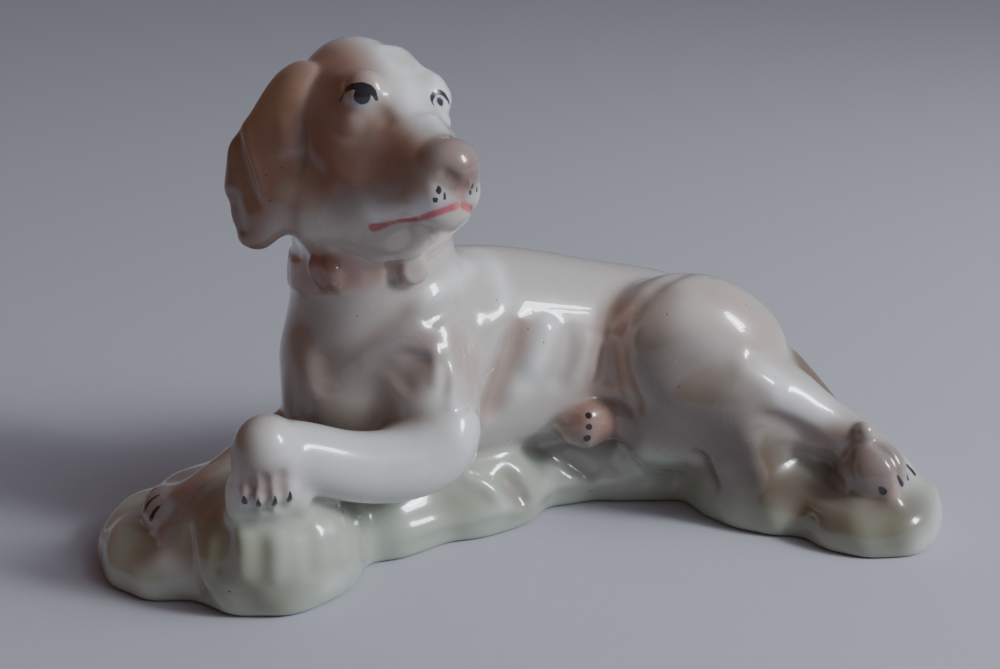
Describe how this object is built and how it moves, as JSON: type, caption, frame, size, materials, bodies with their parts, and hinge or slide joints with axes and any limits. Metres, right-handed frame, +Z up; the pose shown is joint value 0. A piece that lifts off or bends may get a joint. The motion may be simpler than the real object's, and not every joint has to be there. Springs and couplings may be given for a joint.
{
  "type": "porcelain dog figurine",
  "caption": "Glossy porcelain figurine of a collared pointing dog lying on a pale green rocky plinth, its head turned to one side",
  "frame": {"origin": "centre of the bounding box in plan, on the face the plinth stands on", "axes": "+X along the plinth towards the dog's rump, +Y towards the dog's back, +Z up; the head looks towards -Y"},
  "size_m": [0.228, 0.09, 0.1333],
  "materials": {
    "plinth_glaze": "pale celadon green glaze over white porcelain, high gloss, pooled in the hollows",
    "coat_glaze": "clear high-gloss glaze over white porcelain with soft air-brushed warm beige and brown patches",
    "ear_glaze": "clear high-gloss glaze over soft air-brushed brown",
    "collar_glaze": "clear high-gloss glaze over brown underglaze colour"
  },
  "bodies": {
    "root": {"base": "plinth_glaze", "body": "coat_glaze", "head": "coat_glaze", "ear_right": "ear_glaze", "ear_left": "ear_glaze", "foreleg_left": "coat_glaze", "foreleg_right": "coat_glaze", "hindleg_left": "coat_glaze", "hindleg_right": "coat_glaze", "tail": "ear_glaze", "collar": "collar_glaze", "collar_buckle": "collar_glaze", "collar_ring": "collar_glaze"}
  },
  "joints": []
}
